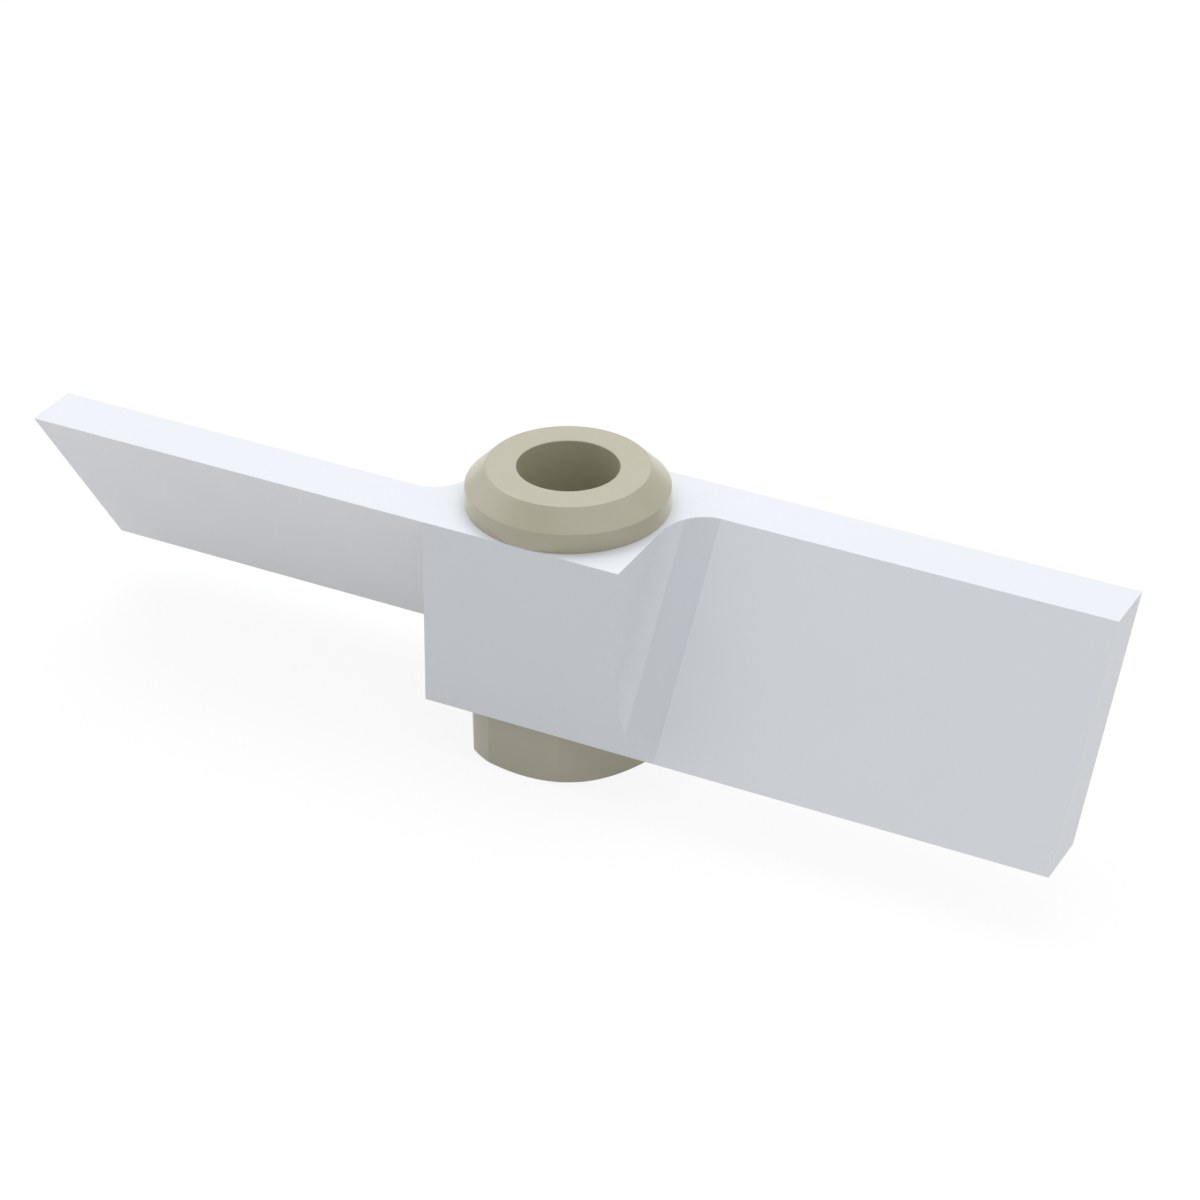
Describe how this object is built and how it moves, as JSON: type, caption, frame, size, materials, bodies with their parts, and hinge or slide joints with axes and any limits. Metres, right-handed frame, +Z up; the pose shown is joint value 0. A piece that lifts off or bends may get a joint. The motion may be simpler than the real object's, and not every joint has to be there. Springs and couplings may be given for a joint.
{
  "type": "paddle stirrer",
  "caption": "Laboratory paddle stirrer head: a white fluoropolymer bar milled into a square hub with oppositely pitched blades, clamped on a stirrer shaft by a collet bush and hexagon nut.",
  "frame": {"origin": "centre of the nut's underside, on the shaft bore's axis, where the stirrer stands", "axes": "+X along the blades, +Z up along the shaft bore towards the collar, +Y towards the back of the picture's view"},
  "size_m": [0.11, 0.02, 0.0302],
  "materials": {
    "white_fluoropolymer": "milled virgin PTFE, waxy satin white",
    "beige_polyketone": "turned natural PEEK, satin grey-beige"
  },
  "bodies": {
    "root": {"blade_body": "white_fluoropolymer", "collet_bush": "beige_polyketone", "collet_nut": "beige_polyketone"}
  },
  "joints": []
}
